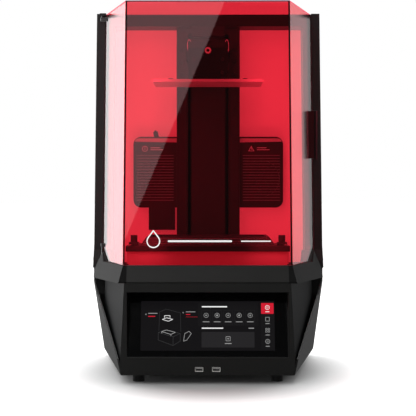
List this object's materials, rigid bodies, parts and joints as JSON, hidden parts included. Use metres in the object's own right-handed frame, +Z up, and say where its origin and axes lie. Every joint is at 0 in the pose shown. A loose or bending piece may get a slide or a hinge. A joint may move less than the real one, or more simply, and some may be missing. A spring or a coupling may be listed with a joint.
{
  "type": "resin 3d printer",
  "caption": "Desktop resin 3D printer with a faceted red clear door, tilted touch screen, Z tower with build plate and a shallow resin tank.",
  "frame": {"origin": "centre of the bounding box's bottom face, on the surface under the feet", "axes": "+X to the printer's right as seen from the front, +Y to the back, +Z up"},
  "size_m": [0.447, 0.4, 0.692],
  "materials": {
    "base_pan": "satin black",
    "feet": "matt rubber",
    "front_bezel": "satin black",
    "touch_glass": "black cover glass",
    "lcd_module": "display module",
    "usb_ports": "plated steel",
    "collar_front": "satin black",
    "left_collar_arm": "satin black",
    "right_collar_arm": "satin black",
    "left_side_shell": "satin black",
    "right_side_shell": "satin black",
    "left_cheek": "satin black",
    "right_cheek": "satin black",
    "deck_plate": "black",
    "rear_base_panel": "satin black",
    "network_port": "plated",
    "power_inlet": "black",
    "left_upright": "satin black paint",
    "right_upright": "satin black paint",
    "rear_top_cap": "satin black",
    "top_crossbar": "satin black",
    "chamber_wall": "pale grey paint",
    "rear_cover": "satin black",
    "plinth": "cast",
    "tank_platform": "black anodised",
    "platform_glass": "clear",
    "resin_tank": "machined",
    "tank_film": "clear film",
    "clamp_blocks": "machined",
    "z_tower": "black anodised",
    "tower_cover": "black paint",
    "z_rails": "ground steel",
    "z_motor": "black",
    "left_heater": "black",
    "right_heater": "black",
    "purifier": "black",
    "projector": "black cast",
    "hinge_lugs": "black",
    "mainboard": "green board",
    "power_supply": "plated",
    "hinge_pins": "steel",
    "door_front": "clear red acrylic",
    "left_facet": "clear red acrylic",
    "right_facet": "clear red acrylic",
    "door_roof": "clear red acrylic",
    "door_handle": "dark red",
    "carriage": "black anodised",
    "lead_nut": "brass",
    "plate_bracket": "black anodised",
    "build_plate": "sandblasted",
    "lead_screw": "rolled steel",
    "left_plate_lever": "steel",
    "right_plate_lever": "steel",
    "plate_knob": "steel",
    "left_thumb_screw": "turned",
    "right_thumb_screw": "turned",
    "left_heater_fan": "black",
    "right_heater_fan": "black",
    "rear_fan": "black",
    "power_switch": "black"
  },
  "bodies": {
    "frame": {"base_pan": "base_pan", "feet": "feet", "front_bezel": "front_bezel", "touch_glass": "touch_glass", "lcd_module": "lcd_module", "usb_ports": "usb_ports", "collar_front": "collar_front", "left_collar_arm": "left_collar_arm", "right_collar_arm": "right_collar_arm", "left_side_shell": "left_side_shell", "right_side_shell": "right_side_shell", "left_cheek": "left_cheek", "right_cheek": "right_cheek", "deck_plate": "deck_plate", "rear_base_panel": "rear_base_panel", "network_port": "network_port", "power_inlet": "power_inlet", "left_upright": "left_upright", "right_upright": "right_upright", "rear_top_cap": "rear_top_cap", "top_crossbar": "top_crossbar", "chamber_wall": "chamber_wall", "rear_cover": "rear_cover", "plinth": "plinth", "tank_platform": "tank_platform", "platform_glass": "platform_glass", "resin_tank": "resin_tank", "tank_film": "tank_film", "clamp_blocks": "clamp_blocks", "z_tower": "z_tower", "tower_cover": "tower_cover", "z_rails": "z_rails", "z_motor": "z_motor", "left_heater": "left_heater", "right_heater": "right_heater", "purifier": "purifier", "projector": "projector", "mainboard": "mainboard", "power_supply": "power_supply", "hinge_pins": "hinge_pins"},
    "door": {"door_front": "door_front", "left_facet": "left_facet", "right_facet": "right_facet", "door_roof": "door_roof", "door_handle": "door_handle", "hinge_lugs": "hinge_lugs"},
    "platform": {"carriage": "carriage", "lead_nut": "lead_nut", "plate_bracket": "plate_bracket", "build_plate": "build_plate"},
    "screw": {"lead_screw": "lead_screw"},
    "lever_left": {"left_plate_lever": "left_plate_lever"},
    "lever_right": {"right_plate_lever": "right_plate_lever"},
    "lock_knob": {"plate_knob": "plate_knob"},
    "thumb_left": {"left_thumb_screw": "left_thumb_screw"},
    "thumb_right": {"right_thumb_screw": "right_thumb_screw"},
    "heater_fan_left": {"left_heater_fan": "left_heater_fan"},
    "heater_fan_right": {"right_heater_fan": "right_heater_fan"},
    "cooling_fan": {"rear_fan": "rear_fan"},
    "rocker": {"power_switch": "power_switch"}
  },
  "joints": [
    {"name": "door_swing", "type": "hinge", "parent": "frame", "child": "door", "pos_m": [-0.204, -0.032, 0.45], "axis": [0, 0, -1], "range_deg": [0, 105]},
    {"name": "platform_lift", "type": "slide", "parent": "frame", "child": "platform", "axis": [0, 0, 1], "range_m": [-0.3, 0]},
    {"name": "screw_spin", "type": "hinge", "parent": "frame", "child": "screw", "pos_m": [0, 0.015, 0.4], "axis": [0, 0, 1], "continuous": true},
    {"name": "left_lever_turn", "type": "hinge", "parent": "platform", "child": "lever_left", "pos_m": [-0.0395, -0.076, 0.6005], "axis": [1, 0, 0], "range_deg": [0, 90]},
    {"name": "right_lever_turn", "type": "hinge", "parent": "platform", "child": "lever_right", "pos_m": [0.0395, -0.076, 0.6005], "axis": [1, 0, 0], "range_deg": [0, 90]},
    {"name": "lock_knob_turn", "type": "hinge", "parent": "platform", "child": "lock_knob", "pos_m": [0, -0.1, 0.6125], "axis": [0, -1, 0], "continuous": true},
    {"name": "left_thumb_turn", "type": "hinge", "parent": "frame", "child": "thumb_left", "pos_m": [-0.138, -0.112, 0.259], "axis": [0, 0, 1], "continuous": true},
    {"name": "right_thumb_turn", "type": "hinge", "parent": "frame", "child": "thumb_right", "pos_m": [0.138, -0.112, 0.259], "axis": [0, 0, 1], "continuous": true},
    {"name": "left_heater_fan_spin", "type": "hinge", "parent": "frame", "child": "heater_fan_left", "pos_m": [-0.1045, 0.026, 0.374], "axis": [0, -1, 0], "continuous": true},
    {"name": "right_heater_fan_spin", "type": "hinge", "parent": "frame", "child": "heater_fan_right", "pos_m": [0.1045, 0.026, 0.374], "axis": [0, -1, 0], "continuous": true},
    {"name": "cooling_fan_spin", "type": "hinge", "parent": "frame", "child": "cooling_fan", "pos_m": [0.095, 0.189, 0.112], "axis": [0, 1, 0], "continuous": true},
    {"name": "rocker_tilt", "type": "hinge", "parent": "frame", "child": "rocker", "pos_m": [-0.105, 0.193, 0.07], "axis": [1, 0, 0], "range_deg": [0, 22]}
  ],
  "couplings": [
    {"joint": "screw_spin", "follows": "platform_lift", "rad_per_m": 628.32}
  ]
}
